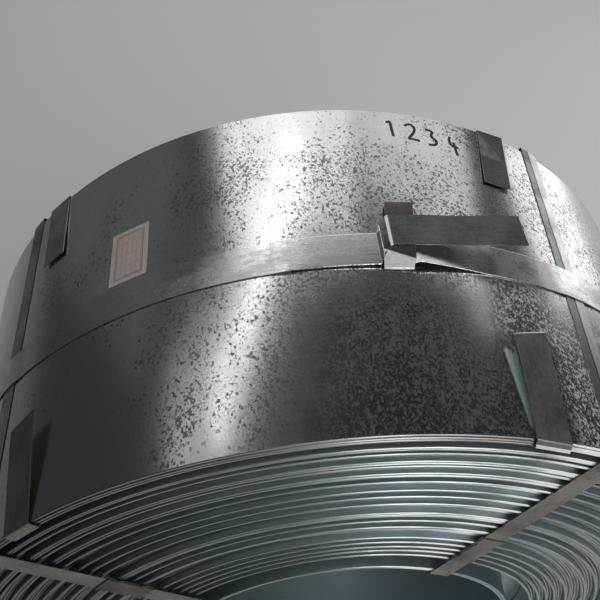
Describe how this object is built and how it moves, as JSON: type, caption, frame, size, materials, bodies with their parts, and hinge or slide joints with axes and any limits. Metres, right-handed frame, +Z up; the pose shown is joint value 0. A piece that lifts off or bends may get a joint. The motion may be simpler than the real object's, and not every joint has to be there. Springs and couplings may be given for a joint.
{
  "type": "steel coil",
  "caption": "Slit coil of galvanised steel strip lying on its round side, bound with a girth strap, bore straps and hooked edge strips.",
  "frame": {"origin": "centre of the bore, half way between the strip's two edges", "axes": "+Y along the bore axis, away from the near end; +Z up as the coil lies on its round side"},
  "size_m": [0.722, 0.3445, 0.7243],
  "materials": {
    "galvanised_strip": "satin",
    "strapping": "satin",
    "seal_steel": "worn",
    "label_paper": "matt"
  },
  "bodies": {
    "root": {"coil": "galvanised_strip", "belly_strap": "strapping", "joint_clip": "strapping", "eye_strap_right": "strapping", "eye_strap_left": "strapping", "eye_seal_right": "seal_steel", "eye_seal_left": "seal_steel", "edge_strip_right": "strapping", "edge_strip_left": "strapping", "paper_label": "label_paper"}
  },
  "joints": []
}
